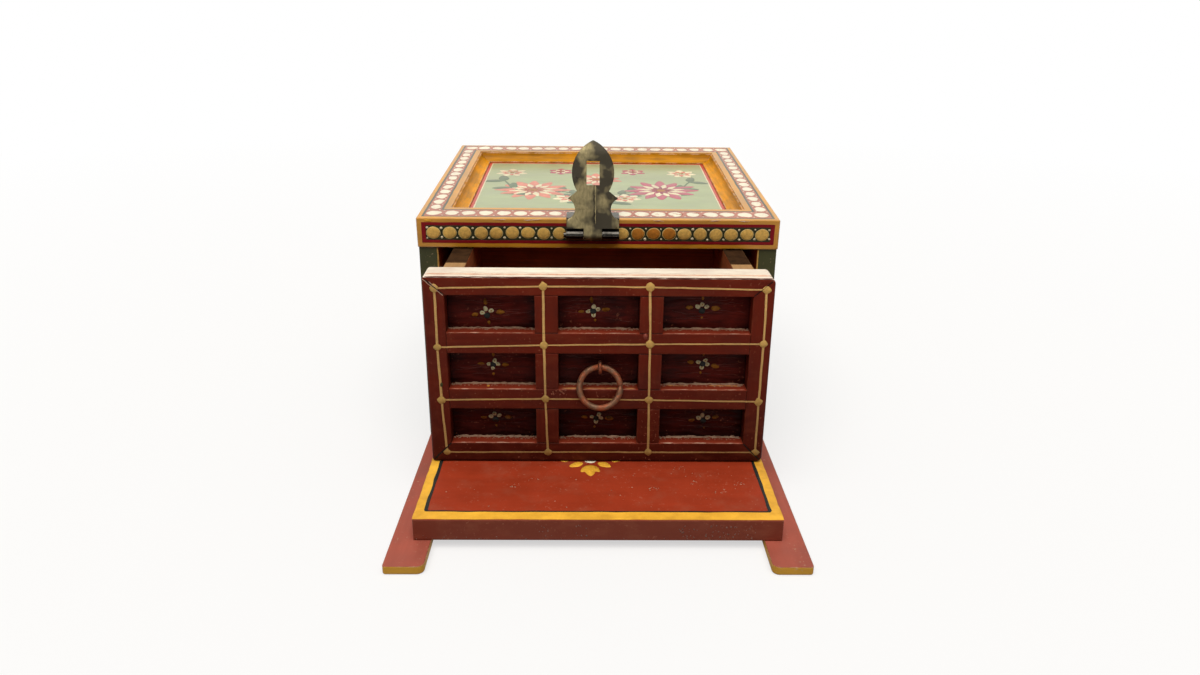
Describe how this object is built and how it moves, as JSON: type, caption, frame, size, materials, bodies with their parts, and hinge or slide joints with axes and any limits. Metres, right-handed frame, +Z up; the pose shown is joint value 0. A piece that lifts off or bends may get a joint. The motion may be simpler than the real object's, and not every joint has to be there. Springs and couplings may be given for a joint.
{
  "type": "trinket box",
  "caption": "Painted wooden trinket box on runners: a sloping hinged lid with a hasp, and a deep latticed drawer with a ring pull that slides out over the base board.",
  "frame": {"origin": "on the floor, at the middle of the footprint of the two runners", "axes": "+X to the right seen from the front, +Y from the drawer front to the hinged back, +Z up"},
  "size_m": [0.2, 0.347, 0.1777],
  "materials": {
    "maroon_paint": "worn satin oil paint, maroon",
    "brick_paint": "worn satin oil paint, brick red",
    "runner_paint": "worn satin oil paint, dusty red",
    "green_paint": "worn satin oil paint, dark green",
    "lid_paint": "varnished oil paint, red-brown and gold",
    "gold_paint": "gold-ochre paint, varnished",
    "picture_paint": "sage-green paint, varnished",
    "bare_wood": "bare aged softwood",
    "hasp_metal": "dark patina",
    "hinge_metal": "dark patina",
    "wrought_iron": "rusted wrought iron"
  },
  "bodies": {
    "carcass": {"left_runner": "runner_paint", "right_runner": "runner_paint", "runner_nails": "wrought_iron", "side_nails": "wrought_iron", "base_board": "brick_paint", "left_side": "green_paint", "right_side": "green_paint", "back_board": "green_paint", "left_drawer_guide": "bare_wood", "right_drawer_guide": "bare_wood", "left_hinge_body_leaf": "hinge_metal", "right_hinge_body_leaf": "hinge_metal", "left_hinge_pin": "wrought_iron", "right_hinge_pin": "wrought_iron", "body_hinge_nails": "wrought_iron"},
    "lid": {"lid_front_rail": "lid_paint", "lid_right_stile": "lid_paint", "lid_back_rail": "lid_paint", "lid_left_stile": "lid_paint", "picture_board": "picture_paint", "front_cove": "gold_paint", "right_cove": "gold_paint", "back_cove": "gold_paint", "left_cove": "gold_paint", "left_hinge_lid_leaf": "hinge_metal", "right_hinge_lid_leaf": "hinge_metal", "lid_hinge_nails": "wrought_iron", "hasp_plate": "hasp_metal", "hasp_pin": "wrought_iron", "hasp_nails": "wrought_iron"},
    "hasp": {"hasp_tongue": "hasp_metal"},
    "drawer": {"drawer_backing": "maroon_paint", "front_top_rail": "maroon_paint", "front_bottom_rail": "maroon_paint", "front_left_stile": "maroon_paint", "front_right_stile": "maroon_paint", "upper_muntin": "maroon_paint", "lower_muntin": "maroon_paint", "top_left_muntin": "maroon_paint", "top_right_muntin": "maroon_paint", "middle_left_muntin": "maroon_paint", "middle_right_muntin": "maroon_paint", "bottom_left_muntin": "maroon_paint", "bottom_right_muntin": "maroon_paint", "drawer_left_side": "bare_wood", "drawer_right_side": "bare_wood", "drawer_back": "bare_wood", "drawer_divider": "bare_wood", "drawer_bottom": "bare_wood", "drawer_nails": "wrought_iron", "ring_eye": "wrought_iron"},
    "ring": {"pull_ring": "wrought_iron"}
  },
  "joints": [
    {"name": "lid_hinge", "type": "hinge", "parent": "carcass", "child": "lid", "pos_m": [0, 0.1547, 0.1315], "axis": [-1, 0, 0], "range_deg": [0, 180]},
    {"name": "hasp_hinge", "type": "hinge", "parent": "lid", "child": "hasp", "pos_m": [-0.0032, -0.04325, 0.1284], "axis": [1, 0, 0], "range_deg": [0, 113]},
    {"name": "drawer_slide", "type": "slide", "parent": "carcass", "child": "drawer", "axis": [0, -1, 0], "range_m": [-0.0558, 0.0577]},
    {"name": "ring_swing", "type": "hinge", "parent": "drawer", "child": "ring", "pos_m": [0.0008, -0.0916, 0.06995], "axis": [-1, 0, 0], "range_deg": [0, 120]}
  ]
}
